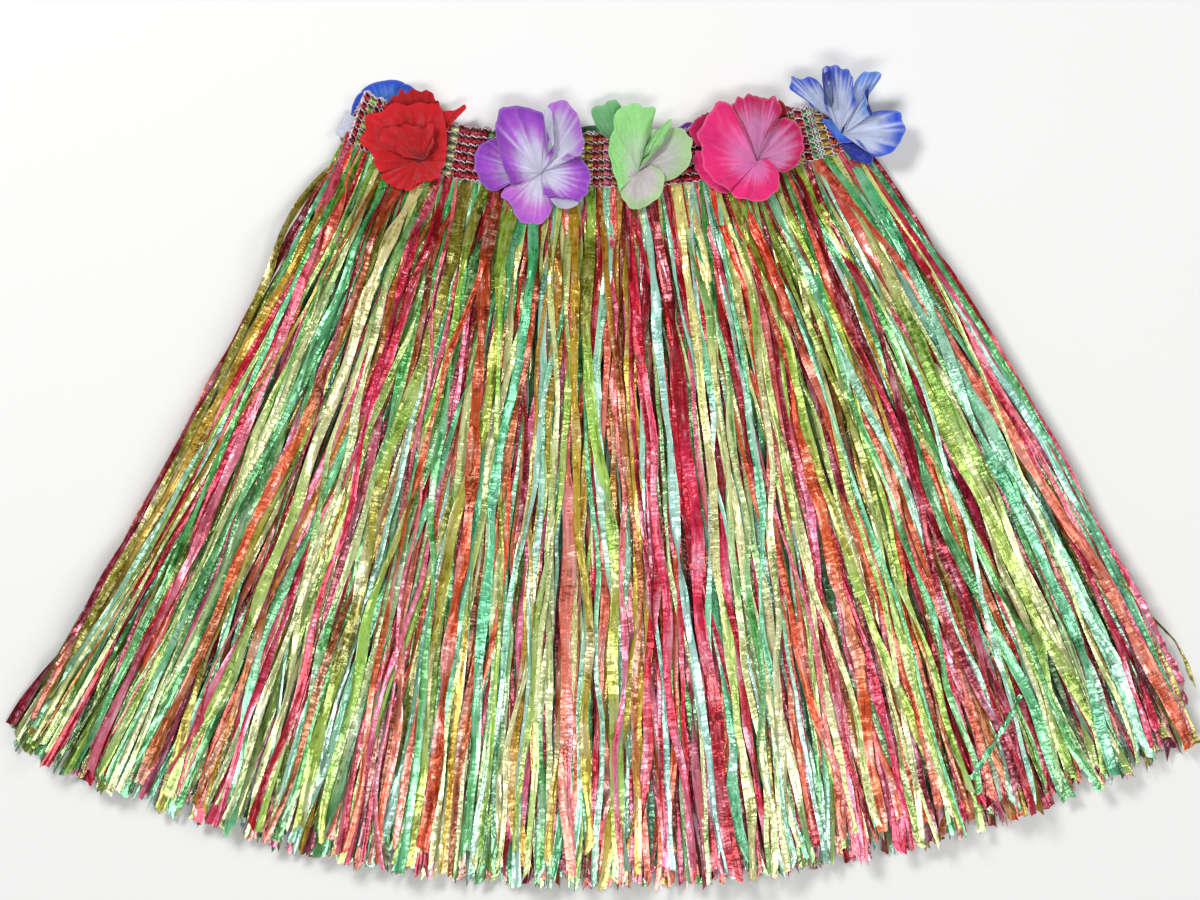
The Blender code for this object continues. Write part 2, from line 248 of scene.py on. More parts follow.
def paler(tree, colour):  # the colour of painted highlight: a light tint of its own hue, least where it is pale already
    light = node(tree, "ShaderNodeRGBToBW", {}, colour)
    soft = node(tree, "ShaderNodeGamma", {}, colour, light * 0.45 + 0.45)
    dim = blend(tree, 1.0, soft, light * 0.25 + 0.72, "MULTIPLY")
    return blend(tree, 1.0, dim, (0.05, 0.05, 0.05), "ADD")


def filmMaterial(name, look):  # painted light and shade on the film: streaks and blobs of painted highlight and shade, crinkled and rippled runs of it, painted shade in creases, painted sparkles
    material, tree, shader = newMaterial(
        name, Coat_Roughness=0.15, Specular_IOR_Level=look["specular"],
        Metallic=look["metallic"], Coat_Weight=look["coat"])
    across, along = filmParts(tree)
    tint = node(tree, "ShaderNodeAttribute", {"attribute_name": "tint"})

    def at(key):
        return pattern(tree, across, along, look[key])

    def lines(value, wide, thin):  # 1 along the middle level of a noise, 0 away from it
        return ramp(tree, value.maths("ABSOLUTE", value - 0.5), wide, thin)

    streak = noise(tree, at("streak"), 1.0, 2.0, 0.55)
    blob = noise(tree, at("blob"), 1.0, 2.0, 0.55, 0.5)
    crinkle = noise(tree, at("crinkle"), 1.0, 2.0, 0.55, 0.8)
    crease = noise(tree, at("crease"), 1.0, 2.0, 0.55)
    ripple = noise(tree, at("ripple"), 1.0, 1.0, 0.5, 0.35)
    wide = at("patches")
    patch = ramp(tree, noise(tree, wide, 1.0, 1.0), 0.50, 0.64)
    ripples = ramp(tree, noise(tree, wide, 1.7, 1.0), 0.55, 0.64)
    # the value paints the film's light and shade: below zero painted shade, above zero painted highlight
    value = (streak - 0.5) * 0.85 + (blob - 0.5) * 0.85 + (crinkle - 0.5) * patch * 1.2
    value = value + (crease - 0.5) * 0.6
    value = value + (ripple - 0.5) * ripples * 0.6
    dark = blend(tree, ramp(tree, value, -0.03, -0.24) * look["darken"], tint, darker(tree, tint))
    light = blend(tree, ramp(tree, value, 0.03, 0.24) * look["lighten"], dark, paler(tree, tint))
    # painted shade: thin dark lines along the creases of the crinkles and ripples
    creaseShade = lines(crinkle, 0.020, 0.006) * patch
    creaseShade = creaseShade.maths("MAXIMUM", creaseShade, lines(ripple, 0.040, 0.014) * ripples)
    creaseShaded = blend(tree, creaseShade * look["creaseShade"], light, darker(tree, darker(tree, tint)))
    # painted highlight: small sparkles of a still paler tint
    spark = ramp(tree, value + (crinkle - 0.5) * 0.5, 0.30, 0.40) * look["spark"]
    colour = blend(tree, spark, creaseShaded, paler(tree, paler(tree, tint)))
    parts = zip((streak, blob, crinkle * (patch * 0.9 + 0.1), crease, ripple * ripples), look["depths"])
    height = sum(part * depth for part, depth in parts)
    bump = bumps(tree, height, 1.0, 0.001)
    rough = crinkle * look["roughSpread"] + (look["roughness"] - look["roughSpread"] / 2)
    connect(tree, shader, Base_Color=colour, Roughness=rough, Normal=bump)
    return material


# ribbons

palette = {  # the film's colours, from hue to hue
    "plum": (148, 18, 44), "crimson": (188, 20, 40), "magenta": (222, 44, 82), "pink": (242, 122, 150),
    "salmon": (240, 132, 104), "orange": (226, 90, 42), "brown": (174, 94, 36), "gold": (204, 168, 54),
    "olive": (164, 154, 52), "lime": (168, 206, 92), "yellow": (240, 242, 176), "green": (104, 180, 100),
    "mint": (120, 208, 152), "paleMint": (188, 240, 212),
}
regions = {  # how often each colour comes up at the open side, in the middle and at the folded side
    "plum": (2, 3, 3), "crimson": (7, 15, 13), "magenta": (4, 8, 8), "pink": (5, 9, 9),
    "salmon": (1, 7, 5), "orange": (2, 9, 8), "brown": (1, 7, 6), "gold": (2, 7, 7),
    "olive": (5, 3, 5), "lime": (36, 5, 6), "yellow": (13, 12, 12), "green": (20, 9, 11),
    "mint": (10, 9, 9), "paleMint": (8, 13, 12),
}
ribbons = {
    "seed": 11, "columns": 58, "perColumn": 12, "layers": 6, "along": 80, "across": 5,
    "width": 3.1, "spread": 0.40, "narrow": 1.3, "wide": 6.3, "rootShare": 0.80,  # mm
    "loft": 0.14, "press": 0.50, "arch": 0.22, "fold": 0.20, "waver": 3.6, "cross": 0.024, "uneven": 6.5,
    "kick": 3.2, "brightest": 0.76, "warmth": (0.0, 0.09, 0.12),
    "rootLow": 0.0050, "rootRise": 0.0014, "bed": 0.0046,  # metres
}
backRibbons = {
    "seed": 23, "columns": 58, "perColumn": 4, "layers": 2, "along": 64, "across": 5,
    "width": 4.8, "spread": 0.3, "narrow": 2.4, "wide": 8.5, "rootShare": 0.75,
    "loft": 0.12, "press": 0.45, "arch": 0.14, "fold": 0.12, "waver": 2.8, "cross": 0.012, "uneven": 6.0,
    "kick": 2.0, "brightest": 0.76, "warmth": (0.0, 0.09, 0.12),
    "rootLow": 0.0024, "rootRise": 0.0016, "bed": 0.0003,
}
# ribbons that the photo shows apart: colour, width in mm, share of the band, free or not, points in mm
strays = {
    "edgeLeft": ("salmon", 3.2, 0.0, False, (
        (-136, 170), (-154, 148), (-171, 115), (-179, 99), (-190, 81), (-222, 20), (-257, -44),
        (-288, -104), (-301, -130))),
    "cornerLeft": ("plum", 3.6, 0.0, False, (
        (-135, 171), (-161, 133), (-192, 74), (-230, 3), (-251, -35), (-268, -65), (-282, -90),
        (-303, -115), (-315, -134))),
    "bulge": ("olive", 3.8, 0.0, False, (
        (-137, 169), (-154, 153), (-165, 136), (-169, 128), (-175, 108), (-180, 97), (-194, 67),
        (-229, -2), (-262, -62), (-292, -119))),
    "crossing": ("mint", 3.2, 0.8, True, (
        (224, -118), (216, -131), (207, -146), (197, -162))),
    "loopRight": ("olive", 1.5, 1.0, True, (
        (276, -56), (284, -66), (291, -73), (299, -81), (307, -89), (313, -100), (317, -112))),
    "edgeRight": ("pink", 3.2, 1.0, True, (
        (271, -40), (279, -53), (288, -70), (298, -89), (307, -107), (314, -123))),
}


hues = list(palette)
filmColours = linear(list(palette.values()))


def pickColours(rng, shares):  # a colour for each place along the band, by the regions' weights
    weights = np.array([[np.interp(share, (0, 0.5, 1), regions[name]) for name in hues] for share in shares])
    total = np.cumsum(weights, axis=1)
    return (rng.random(len(shares))[:, None] * total[:, -1:] > total).sum(axis=1)


def ribbonPlan(rng, s):  # each ribbon's start, end, width and colours; each layer is evenly spread
    n = s["columns"] * s["perColumn"]
    per = s["perColumn"] // s["layers"]
    cells = s["columns"] * per
    layer = np.repeat(np.arange(s["layers"]), cells)
    cell = np.tile(np.arange(cells), s["layers"])
    start = 0.010 + 0.988 * (cell + rng.uniform(0.05, 0.95, n)) / cells
    end = start + rng.normal(0, s["cross"], n) * (0.7 + 1.1 * layer / s["layers"])
    clump = np.round(end * 52 + layer * 0.37) / 52
    end = np.clip(end + (clump - end) * rng.uniform(0, 0.45, n), 0.004, 0.996)
    width = np.exp(rng.normal(math.log(s["width"]), s["spread"], n)).clip(s["narrow"], s["wide"])
    held = pickColours(rng, np.linspace(0, 1, s["columns"]))
    own = pickColours(rng, start)
    pick = np.where(rng.random(n) < 0.20, held[cell // per], own)
    other = np.clip(pick + rng.choice([-1, 1], n), 0, len(hues) - 1)  # the next hue of the palette
    colour = filmColours[pick] * np.exp(rng.normal(0, 0.13, (n, 1))) * np.exp(rng.normal(0, 0.05, (n, 3)))
    turn = np.lexsort((rng.random(n), layer))
    reach = skirt["hemRadius"] + rng.normal(-0.001, s["uneven"] * mm, n).clip(-0.021, 0.006)
    return {"n": n, "start": start, "end": end, "width": width, "colour": colour, "kin": filmColours[other],
            "turn": turn, "reach": reach}


def ways(path):  # the way along each path and the way to its side
    way = np.gradient(path, axis=1)
    way /= np.linalg.norm(way, axis=2, keepdims=True)
    return way, np.stack([-way[..., 1], way[..., 0]], -1)


def ribbonPaths(rng, s, plan, t):  # a bowed line from under the band to the hem, with a slow waver
    point, _, up = bandAt(np.clip(plan["start"], 0.002, 0.998))
    root = point - up * (skirt["bandHeight"] / 2 - skirt["rootInset"])
    angle = np.radians(skirt["hemLeft"] + (skirt["hemRight"] - skirt["hemLeft"]) * plan["end"])
    tip = np.stack([plan["reach"] * np.sin(angle), skirt["hemY"] - plan["reach"] * np.cos(angle)], -1)
    length = np.linalg.norm(tip - root, axis=1)
    splay = np.interp(plan["start"], skirt["bowAt"], skirt["splay"])
    splay = splay * np.arcsin((tip[:, 0] - root[:, 0]) / length)
    leave = np.interp(plan["start"], skirt["bowAt"], skirt["leave"])
    middle = root + np.stack([np.sin(splay), -np.cos(splay)], -1) * (leave * length)[:, None]
    a, b, c = ((1 - t) ** 2)[None, :, None], (2 * t * (1 - t))[None, :, None], (t * t)[None, :, None]
    path = root[:, None] * a + middle[:, None] * b + tip[:, None] * c
    n = plan["n"]
    sway = waves(rng, (n,), t, 0.3, 1.6, 3) * s["waver"]
    sway = sway + waves(rng, (n,), t, 2.0, 5.0, 2) * (0.6 + 1.1 * t) + waves(rng, (n,), t, 6.0, 15.0, 3) * 0.2
    kick = rng.normal(0, s["kick"], (n, 1)) * (rng.random((n, 1)) < 0.5)  # tips turned aside
    sway = sway + kick * np.clip((t - 0.90) / 0.10, 0, 1) ** 2 + 0.4 * kick * smooth(0.70, 0.95, t)
    inner = 1 - 0.75 * np.clip(np.abs(plan["end"] - 0.5) * 2, 0, 1)[:, None] ** 8
    return path + ways(path)[1] * (sway * inner * smooth(0.01, 0.22, t) * mm)[..., None], length


def strayPaths(t):  # the loose ribbons' lines, through their points
    lines, lengths = [], []
    for row in strays.values():
        p = np.array(row[-1], float) * mm
        run = np.concatenate([[0], np.cumsum(np.linalg.norm(np.diff(p, axis=0), axis=1))])
        line = np.stack([np.interp(t * run[-1], run, p[:, k]) for k in (0, 1)], -1)
        window = np.ones(7) / 7
        padded = np.pad(line, ((3, 3), (0, 0)), "reflect", reflect_type="odd")
        lines.append(np.stack([np.convolve(padded[:, k], window, "valid") for k in (0, 1)], -1))
        lengths.append(run[-1])
    return np.stack(lines), np.array(lengths)


def sections(rng, s, width, length, t):  # each ribbon's folded section, flat and raised, in mm
    n, u = len(width), np.linspace(-1, 1, s["across"])
    grow = s["rootShare"] + (1 - s["rootShare"]) * smooth(0.0, 0.12, t) + 0.12 * smooth(0.6, 1.0, t)
    half = np.clip(width[:, None] / 2 * grow * (1 + 0.22 * waves(rng, (n,), t, 1.5, 9.0)), 0.6, 3.8)
    tilt = np.radians(20) * waves(rng, (n,), t, 0.4, 3.0, 3)
    for _ in range(2):
        where = rng.uniform(0.05, 0.97, (n, 1))
        size = rng.choice([0, 1], (n, 1)) * rng.uniform(0.5, 1.3, (n, 1)) * rng.choice([-1, 1], (n, 1))
        tilt = tilt + size * np.exp(-(((t[None] - where) * length[:, None] / 0.012) ** 2))
    inner = (1 - u**2)[None, :, None]
    slide = u[None, :, None] + 0.12 * waves(rng, (n, s["across"]), t, 1.0, 6.0, 3) * inner
    arch = rng.uniform(-0.7, 1.3, (n, 1, 1)) * s["arch"] * inner
    fold = s["fold"] * waves(rng, (n, s["across"]), t, 2.0, 14.0, 4)
    lift = (arch + fold) * half[:, None]
    flat = slide * half[:, None] * np.cos(tilt)[:, None] - lift * np.sin(tilt)[:, None]
    rise = slide * half[:, None] * np.sin(tilt)[:, None] + lift * np.cos(tilt)[:, None]
    return half, flat, rise, slide, tilt


def cutEnds(rng, s, half, t):  # how far each end is slanted, notched or frayed, in mm
    n, u = len(half), np.linspace(-1, 1, s["across"])
    notch = (rng.random((n, 1)) < 0.12) * rng.uniform(2.0, 6.0, (n, 1)) * (1 - np.abs(u))[None]
    ends = rng.normal(0, 1.7, (n, 1)) * u[None] + rng.normal(0, 0.45, (n, s["across"])) - notch
    return ends[..., None] * smooth(0.975, 1.0, t)


def gleam(rng, s, plan, tilt, t):  # each ribbon's colour with painted light and shade: painted highlight and shade in runs, painted shade deep in the pile, near the band and at the hem's sides
    n, u = plan["n"], np.linspace(-1, 1, s["across"])
    # painted light on one side of each ribbon and painted shade on the other, the sides swapping along it
    side = np.clip(1.6 * waves(rng, (n,), t, 0.3, 2.2, 2), -1, 1)[:, None] * u[None, :, None]
    # the value: above zero painted highlight, below zero painted shade, in runs along each ribbon
    value = 0.34 * side + 0.30 * waves(rng, (n,), t, 2.0, 12.0, 4)[:, None]
    value = value + 0.14 * waves(rng, (n, s["across"]), t, 4, 20, 3)
    aside = np.abs(2 * plan["end"] - 1)[:, None, None] ** 1.6  # both sides of the hem get fewer painted highlights and more painted shade
    value = value + 0.06 + (0.19 - 0.34 * aside) * smooth(0.30, 1.0, t)
    deep = (1.42 - 0.42 * smooth(0.05, 0.5, t))[None, None, :, None]  # deeper hues near the band
    through = waves(rng, (n,), t, 0.4, 2.6, 2)[:, None] + 0.5 * waves(rng, (n, s["across"]), t, 0.5, 3.0, 2)
    through = 0.80 * smooth(0.0, 0.9, through)[..., None]  # where the film under it shows through
    colour = (plan["colour"][:, None, None] * (1 - through) + plan["kin"][:, None, None] * through) ** deep
    red = smooth(0.2, 0.7, (colour[..., :1] - colour[..., 1:2]) / (colour[..., :1] + colour[..., 1:2]))
    light = (colour @ [0.30, 0.59, 0.11])[..., None]  # pale hues keep their colour in the painted highlight
    wash = (0.16 + 0.27 * smooth(0.1, 0.9, t))[None, None, :, None] * (1 - red * np.array([0, 0.22, 0.04]))
    wash = wash * (1 - light)
    # the colours of painted shade and of painted highlight, mixed in by the value
    dark, pale = colour**1.4 * 0.46, colour**(0.58 + 0.42 * light) * (0.98 - wash) + wash
    down, up = smooth(0.05, -0.75, value)[..., None], smooth(0.10, 0.85, value)[..., None]
    colour = colour * (1 - down) + dark * down
    colour = colour * (1 - up) + pale * up
    rank = np.empty(n)
    rank[plan["turn"]] = np.linspace(0, 1, n)
    # painted shade: ribbons lower in the pile are darker
    depth = (0.32 + 0.68 * smooth(0.0, 0.80, rank))[:, None, None, None]
    # painted light and shade: darker near the band, where the ribbons bunch, lighter towards the hem
    hemwardLight = (0.86 + 0.20 * smooth(0.02, 0.5, t))[None, None, :, None]
    # painted shade: the hem's two sides darker
    dim = (1 - 0.22 * aside * smooth(0.2, 0.8, t))[..., None]
    colour = colour * depth * hemwardLight * dim
    colour = colour * (1 - smooth(0.45, 0.0, t)[:, None] * s["warmth"])  # redder near the band
    return colour * np.minimum(1, s["brightest"] / colour.max(axis=-1, keepdims=True))


heights = {"map": np.full((400, 590), 0.0003), "cell": 1.2 * mm, "x": 0.354, "y": 0.240}


def pile(s, order, path, side, half, rise, length, t):  # the highest film under each
    fine = np.linspace(0, 1, 3 * len(t))
    across = np.linspace(-1, 1, 9)
    ground, cell = heights["map"], heights["cell"]
    thick = (rise.max(axis=1) - rise.min(axis=1)) * mm * s["press"]
    found = np.zeros(half.shape)
    for i in order:
        x, y = (np.interp(fine, t, path[i, :, k]) for k in (0, 1))
        sx, sy = (np.interp(fine, t, side[i, :, k]) for k in (0, 1))
        h = np.interp(fine, t, half[i]) * mm
        ix = ((x[:, None] + sx[:, None] * h[:, None] * across + heights["x"]) / cell).astype(int)
        ix = ix.clip(0, ground.shape[1] - 1)
        iy = ((y[:, None] + sy[:, None] * h[:, None] * across + heights["y"]) / cell).astype(int)
        iy = iy.clip(0, ground.shape[0] - 1)
        under = ground[iy, ix].max(axis=1)
        reach = int(min(8, max(3, 0.009 / (length[i] / len(fine)))))
        span = 2 * reach + 1
        wide = np.lib.stride_tricks.sliding_window_view(np.pad(under, reach, "edge"), span).max(axis=1)
        level = np.convolve(np.pad(wide, reach, "edge"), np.ones(span) / span, "valid")
        ground[iy, ix] = (level + np.interp(fine, t, thick[i]) * 0.8 + s["loft"] * mm)[:, None]
        found[i] = np.interp(t, fine, level)
    return found


def shapeRibbons(s, top):  # the points of every ribbon of a curtain, with their film places and tints
    rng = np.random.default_rng(s["seed"])
    plan = ribbonPlan(rng, s)
    t = np.linspace(0, 1, s["along"])
    path, length = ribbonPaths(rng, s, plan, t)
    loose = np.zeros(plan["n"], bool)
    if top:
        lines, lengths = strayPaths(t)
        path, length = np.concatenate([path, lines]), np.concatenate([length, lengths])
        names, widths, shares, free, _ = zip(*strays.values())
        own = linear([palette[name] for name in names])
        turn = plan["n"] + np.arange(len(names))
        more = {"width": widths, "colour": own, "kin": own, "turn": turn, "start": shares, "end": shares}
        for key, added in more.items():
            plan[key] = np.concatenate([plan[key], added])
        loose = np.concatenate([loose, free])
        plan["n"] += len(names)
    half, flat, rise, slide, tilt = sections(rng, s, plan["width"], length, t)
    ends = cutEnds(rng, s, half, t)
    way, side = ways(path)
    x = path[:, None, :, 0] + (side[:, None, :, 0] * flat + way[:, None, :, 0] * ends) * mm
    y = path[:, None, :, 1] + (side[:, None, :, 1] * flat + way[:, None, :, 1] * ends) * mm
    found = pile(s, plan["turn"], path, side, half, rise, length, t)
    rank = np.empty(plan["n"])
    rank[plan["turn"]] = np.linspace(0, 1, plan["n"])
    inside = (s["rootLow"] + s["rootRise"] * rank + (frontLift(plan["start"]) if top else 0))[:, None]
    out = np.where(loose[:, None], 1.0, smooth(0.012, 0.06, t)[None])
    low = rise.min(axis=1, keepdims=True)
    squeeze = np.where(loose[:, None], 1.0, 0.22 + 0.78 * smooth(0.07, 0.22, t)[None])
    found = np.where(found > s["bed"], s["bed"] + (found - s["bed"]) * squeeze, found)
    z = (inside * (1 - out) + found * out)[:, None] + (rise - low) * squeeze[:, None] * s["press"] * mm
    points = np.stack([x, y, z], -1).transpose(0, 2, 1, 3)
    run = np.linspace(0, 1, s["along"])[None, None] * (length / mm)[:, None, None]
    place = slide * half[:, None] + np.arange(plan["n"])[:, None, None] * apart["ribbon"]
    uv = np.stack([place, run + 0 * place], -1).transpose(0, 2, 1, 3)
    tint = gleam(rng, s, plan, tilt, t).transpose(0, 2, 1, 3)
    print("pile top", "front" if top else "back", round(float(z.max()) * 1000, 2),
          "mean", round(float(z.mean()) * 1000, 2), "at the hem", round(float(z[:, :, -8:].max()) * 1000, 2),
          round(float(z[:, :, -8:].mean()) * 1000, 2))
    return plan, points, uv, tint


def addRibbons(s, top, names, nodes, material):  # the curtain as a few meshes, from the pile's bottom up
    plan, points, uv, tint = shapeRibbons(s, top)
    made = []
    for name, part in zip(names, np.array_split(plan["turn"], len(names))):
        quads = gridFaces(len(part), s["along"], s["across"])
        flat, place, own = (a[part].reshape(-1, a.shape[-1]) for a in (points, uv, tint))
        obj = makeMesh(name, flat, quads, place, own)
        dress(obj, material, nodes[0], *nodes)
        made.append(obj)
    return made


filmLook = filmMaterial("raffia_film", film)
back = addRibbons(backRibbons, False, ["back_strands"], ["back_fringe_outer", "back_fringe_inner"], filmLook)
front = addRibbons(ribbons, True, ["front_strands_low", "front_strands_mid", "front_strands_high"],
                   ["front_fringe_outer", "front_fringe_inner"], filmLook)
print("ribbons made")


# waistband

knit = {
    "columns": 76, "rows": 6, "radius": 1.70, "puff": 0.95, "along": 43, "across": 7,  # mm
    "thread": 0.34, "threadSides": 5, "perStitch": 8, "dash": 0.46, "hop": 0.40, "edge": 0.75,
    "skew": 4.4, "skewReach": 16.0,  # the front layer's end is cut on a slant
    "ground": (260, 6), "groundPattern": (560, 28), "postSteps": 44,
}
short = 0.0002  # metres by which the knit stops short of the band's ends
bendLength = math.pi * knit["radius"] * mm
loopLength = 2 * bandLength + bendLength
crimsonAt = (0, 0.06, 0.14, 0.42, 0.45, 0.52, 0.56, 0.84, 0.87, 0.925, 0.945, 1)  # places along the band
crimsonShare = (0.2, 0.2, 0.82, 0.82, 0.3, 0.3, 0.8, 0.8, 0.15, 0.15, 0.8, 0.8)  # how much is crimson there


def loopAt(d, v):  # on the band's loop: front, round the fold, then back; the point, its outward way and up
    d = d + knit["skew"] * mm * (1 - v) * (1 - smooth(0, knit["skewReach"] * mm, d))
    radius = knit["radius"] * mm
    share = np.where(d < bandLength + bendLength, 1.0, 1 - (d - bandLength - bendLength) / bandLength)
    share = np.where(d < bandLength, d / bandLength, share)
    angle = np.clip((d - bandLength) / radius, 0, math.pi)
    point, along, up = bandAt(np.clip(share, 0, 1))
    x = point[..., 0] + along[..., 0] * np.sin(angle) * radius
    y = point[..., 1] + along[..., 1] * np.sin(angle) * radius
    z = skirt["meetZ"] + np.cos(angle) * radius + np.where(d < bandLength, frontLift(share), 0)
    out = np.stack([along[..., 0] * np.sin(angle), along[..., 1] * np.sin(angle), np.cos(angle)], -1)
    return np.stack([x, y, z], -1), out, np.concatenate([up, np.zeros(up.shape[:-1] + (1,))], -1)


def insideLoop(d):  # a place on the loop, kept off its ends
    return np.clip(d, short, loopLength - short)


def columnEdges(rng, count):  # where each knitted column starts: uneven widths
    widths = rng.uniform(0.62, 1.38, count)
    return np.concatenate([[0], np.cumsum(widths)]) * loopLength / widths.sum()


def bandRibbons(rng, colours, edges):  # each column of film puffs out between the thread rows
    k = knit
    count = len(colours)
    width = np.diff(edges)
    v = np.linspace(0, 1, k["along"])
    u = np.linspace(-1, 1, k["across"])
    puff = np.abs(np.sin(np.pi * k["rows"] * v)) ** 0.6
    centre = (edges[1:] + edges[:-1]) / 2
    half = width[:, None] / 2 * (0.84 + 0.22 * puff[None] + 0.06 * waves(rng, (count,), v, 2, 8))
    d = insideLoop(centre[:, None, None] + half[..., None] * u)
    place, out, up = loopAt(d, v[None, :, None])
    bulge = np.sqrt(np.clip(1 - (u * 0.94) ** 2, 0, 1))
    crease = waves(rng, (count, k["across"]), v, 4, 16).transpose(0, 2, 1) * 0.20
    height = (0.12 + k["puff"] * puff[None, :, None] * bulge * (1 + crease) + 0.12 * crease) * mm
    points = place + out * height[..., None] + up * (v - 0.5)[None, :, None, None] * skirt["bandHeight"]
    place = d / mm + np.arange(count)[:, None, None] * apart["column"]
    uv = np.stack([place, np.broadcast_to(v[None, :, None] * skirt["bandHeight"] / mm, d.shape)], -1)
    cell = (v * k["rows"]) % 1.0  # painted shade at the top of each cell and painted light at its foot
    light = (0.10 + 0.80 * np.exp(-(((cell - 0.36) / 0.17) ** 2)))[None, :]
    light = light * (1 + 0.30 * waves(rng, (count,), v, 2, 8))
    colours = colours[:, None, None] ** 1.15
    # painted shade towards each column's edges
    colour = colours * np.clip(light, 0.15, 1.6)[..., None, None] * (0.5 + 0.5 * bulge)[None, None, :, None]
    # painted highlights: glints of a paler tint low in each cell
    glints = smooth(0.1, 1.0, waves(rng, (count, k["across"]), v, 3, 12, 2)).transpose(0, 2, 1)
    shine = np.exp(-(((cell - 0.34) / 0.13) ** 2))[None, :, None] * glints
    colour = colour + (colours**0.5 * 0.8 + 0.12 - colour) * 0.75 * shine[..., None]
    return points, uv, np.clip(colour, 0, 0.7)


def tube(centre, out, up, radius, sides):  # a round thread along a line of points
    ring = np.linspace(0, 2 * np.pi, sides, endpoint=False)[:, None]
    ways = np.cos(ring) * out[..., None, :] + np.sin(ring) * up[..., None, :]
    return centre[..., None, :] + ways * radius[..., None, None]


def tubeFaces(blocks, rows, sides):  # quads round tubes, open at their ends
    i, j = np.meshgrid(np.arange(rows - 1), np.arange(sides), indexing="ij")
    a, b = i * sides + j, i * sides + (j + 1) % sides
    quad = np.stack([a, b, b + sides, a + sides], -1).reshape(-1, 4)
    return (quad[None] + (np.arange(blocks) * rows * sides)[:, None, None]).reshape(-1, 4)


def threadRows(rng, edges):  # white thread: a slanted dash over each column, dipping between columns
    k = knit
    count = (len(edges) - 1) * k["perStitch"]
    turn = np.linspace(0.02, len(edges) - 1.02, count)
    d = np.interp(turn, np.arange(len(edges)), edges)
    phase = 2 * np.pi * turn
    slant = np.sin(phase) + 0.45 * np.sin(2 * phase)
    lines = []
    for row in range(k["rows"] + 1):
        place, out, up = loopAt(d, row / k["rows"])
        top = row == k["rows"]
        own = 1 + 0.35 * waves(rng, (), d / loopLength, 20, 90)
        slip = slant * k["dash"] * own * (1.5 if top else 1.0) + 0.25 * waves(rng, (), d / loopLength, 20, 60)
        hop = 0.62 - np.cos(phase) * k["hop"] * own
        rise = (row / k["rows"] - 0.5) * skirt["bandHeight"] + slip * mm
        lines.append(place + up * rise[:, None] + out * (hop * mm)[:, None])
    slip = np.sin(phase * 0.5) * 1.0 + 0.2
    hop = 0.5 + 0.4 * np.cos(phase * 0.5)
    lines.append(place + up * (skirt["bandHeight"] / 2 + slip * mm)[:, None] + out * (hop * mm)[:, None])
    centre = np.stack(lines)
    radius = k["thread"] * mm * (1 + 0.18 * np.sin(phase * 3) - 0.15 * np.cos(phase))
    points = tube(centre, out[None], up[None], radius[None], k["threadSides"])
    return points.reshape(-1, 3), tubeFaces(len(lines), count, k["threadSides"])


def threadPosts(rng, edges):  # thread up each join between columns, thick and close at both ends of the band
    k = knit

    def heaviness(at):  # 0 in the middle of the band, 1 at its two ends
        share = np.minimum(at, loopLength - at) / bandLength
        return np.maximum(1 - smooth(0.06, 0.10, share), smooth(0.84, 0.90, share))

    middles = (edges[1:] + edges[:-1]) / 2
    between = middles[(heaviness(middles) > 0.5) & (rng.random(len(middles)) < 0.5)]
    ends = np.concatenate([edges[1:-1], between, [2 * short, loopLength - 2 * short]])
    heavy = heaviness(ends)
    v = np.linspace(0, 1, k["postSteps"])
    zig = np.sin(2 * np.pi * v * k["rows"] * 2)
    own = rng.random(len(ends)) * (0.4 + 0.6 * heavy)
    d = ends[:, None] + (0.12 + 0.40 * heavy)[:, None] * zig * mm
    place, out, up = loopAt(insideLoop(d), v)
    rise = (0.10 + 0.75 * heavy * own + 0.25 * own)[:, None] + 0.22 * np.cos(2 * np.pi * v * k["rows"])
    centre = place + up * ((v - 0.5) * skirt["bandHeight"])[None, :, None] + out * (rise * mm)[..., None]
    radius = 0.15 + 0.24 * heavy * own + 0.05 * own
    radius[-2:] = k["edge"]
    radius = np.broadcast_to(radius[:, None] * mm, d.shape)
    points = tube(centre, out, np.cross(up, out), radius, 4)
    return points.reshape(-1, 3), tubeFaces(len(ends), k["postSteps"], 4)


def groundSheet():  # the film inside the knit, which closes the gaps between columns; its dark tint is painted shade in the gaps
    along, up = knit["ground"]
    d = np.broadcast_to(np.linspace(3 * short, loopLength - 3 * short, along)[:, None], (along, up))
    v = np.linspace(-0.485, 0.485, up)
    place, out, up = loopAt(d, v + 0.5)
    points = place + up * (v * skirt["bandHeight"])[None, :, None] - out * 0.25 * mm
    return points, gridFaces(1, *knit["ground"])


def threadMaterial():
    material, tree, shader = newMaterial("white_thread", Roughness=0.75, Sheen_Weight=0.4)
    spot = spotOf(tree)
    fuzz = noise(tree, spot, 1800.0, 2.0, 0.6)
    mottle = noise(tree, spot, 330.0, 2.0, 0.6)
    # the thread darker and pinker in random patches
    colour = blend(tree, ramp(tree, mottle, 0.36, 0.62), (0.34, 0.17, 0.21), (0.80, 0.66, 0.71))
    connect(tree, shader, Base_Color=colour, Normal=bumps(tree, fuzz, 0.6, 0.0002))
    return material


rng = np.random.default_rng(5)
edges = columnEdges(rng, knit["columns"] * 2 + 1)
columnPick = pickColours(rng, 1 - np.abs(1 - np.linspace(0, 2, len(edges) - 1)))
across = np.minimum(np.linspace(0, 2, len(columnPick)), np.linspace(2, 0, len(columnPick)))
mainly = rng.random(len(columnPick)) < np.interp(across, crimsonAt, crimsonShare)
columnPick = np.where(mainly, hues.index("crimson"), columnPick)
points, uv, tint = bandRibbons(rng, filmColours[columnPick], edges)
cells = gridFaces(len(columnPick), knit["along"], knit["across"])
ground, groundQuads = groundSheet()
groundAxes = [np.linspace(0, far, count) for far, count in zip(knit["groundPattern"], knit["ground"])]
groundUv = np.stack(np.meshgrid(*groundAxes, indexing="ij"), -1).reshape(-1, 2)
